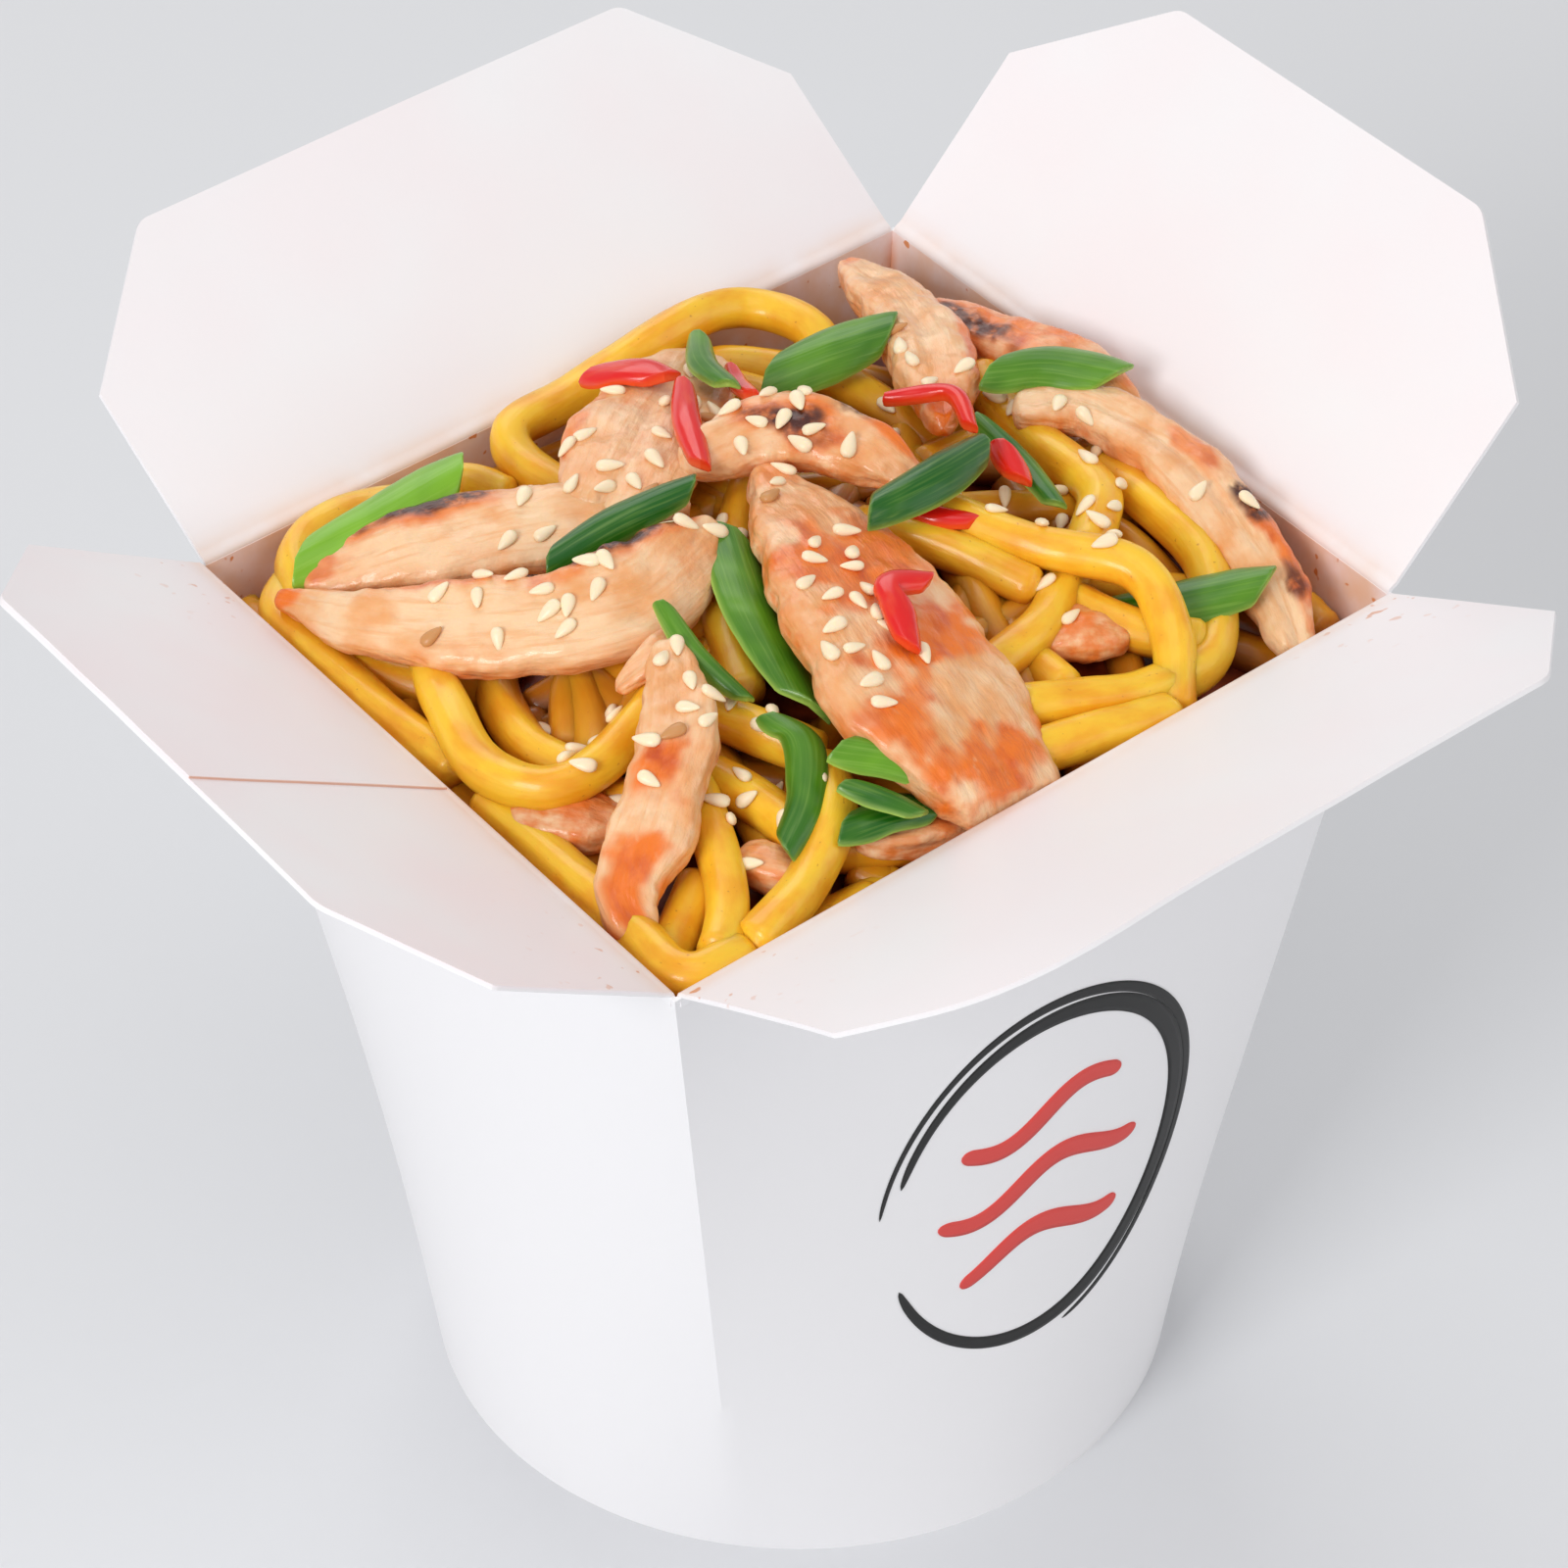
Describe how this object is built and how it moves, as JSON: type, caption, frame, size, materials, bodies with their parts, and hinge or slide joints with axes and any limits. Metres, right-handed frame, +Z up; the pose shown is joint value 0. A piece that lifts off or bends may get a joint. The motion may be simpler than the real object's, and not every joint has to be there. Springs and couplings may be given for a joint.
{
  "type": "noodle takeaway box",
  "caption": "Open round-based card takeaway box with four flaps, heaped with noodles, grilled chicken strips, spring onion, chilli and sesame seeds.",
  "frame": {"origin": "centre of the flat round base, on the surface that the box stands on", "axes": "+Z up out of the open mouth, the plain front panel faces -Y, and the panel to its left faces -X"},
  "size_m": [0.1602, 0.1572, 0.134],
  "materials": {
    "card": "satin",
    "noodle": "gloss",
    "chicken": "satin",
    "spring_onion": "satin",
    "chilli": "gloss"
  },
  "bodies": {
    "box": {"box_body": "card", "noodle_heap": "noodle", "chicken_back_strip": "chicken", "chicken_charred_strip": "chicken", "chicken_right_strip": "chicken", "chicken_fold": "chicken", "chicken_top_strip": "chicken", "chicken_left_slice": "chicken", "chicken_long_slice": "chicken", "chicken_grilled_slice": "chicken", "chicken_front_strip": "chicken", "chicken_shred": "chicken", "chicken_left_bit": "chicken", "chicken_front_bit": "chicken", "chicken_right_bit": "chicken", "chicken_edge_bit": "chicken", "onion_left_broad": "spring_onion", "onion_centre_dark": "spring_onion", "onion_small": "spring_onion", "onion_back_broad": "spring_onion", "onion_back_right": "spring_onion", "onion_narrow": "spring_onion", "onion_centre_right": "spring_onion", "onion_centre_upright": "spring_onion", "onion_thin_upper": "spring_onion", "onion_thin_lower": "spring_onion", "onion_front_light": "spring_onion", "onion_front_dark": "spring_onion", "onion_front_tip": "spring_onion", "onion_right": "spring_onion", "chilli_wedge": "chilli", "chilli_long": "chilli", "chilli_small": "chilli", "chilli_arc": "chilli", "chilli_lump": "chilli", "chilli_low": "chilli", "chilli_bent": "chilli"},
    "front_flap": {"flap_front": "card"},
    "right_flap": {"flap_right": "card"},
    "back_flap": {"flap_back": "card"},
    "left_flap": {"flap_left": "card"}
  },
  "joints": [
    {"name": "front_flap_fold", "type": "hinge", "parent": "box", "child": "front_flap", "pos_m": [-0.00159, -0.04495, 0.1056], "axis": [0.9995, 0.032, 0], "range_deg": [-59.5, 100.5]},
    {"name": "right_flap_fold", "type": "hinge", "parent": "box", "child": "right_flap", "pos_m": [0.05045, 0.00158, 0.1056], "axis": [0.0359, 0.9994, 0], "range_deg": [-38, 122]},
    {"name": "back_flap_fold", "type": "hinge", "parent": "box", "child": "back_flap", "pos_m": [0.00159, 0.04495, 0.1056], "axis": [-0.9995, -0.032, 0], "range_deg": [-49.5, 110.5]},
    {"name": "left_flap_fold", "type": "hinge", "parent": "box", "child": "left_flap", "pos_m": [-0.05045, -0.00158, 0.1056], "axis": [-0.0359, -0.9994, 0], "range_deg": [-55, 105]}
  ]
}
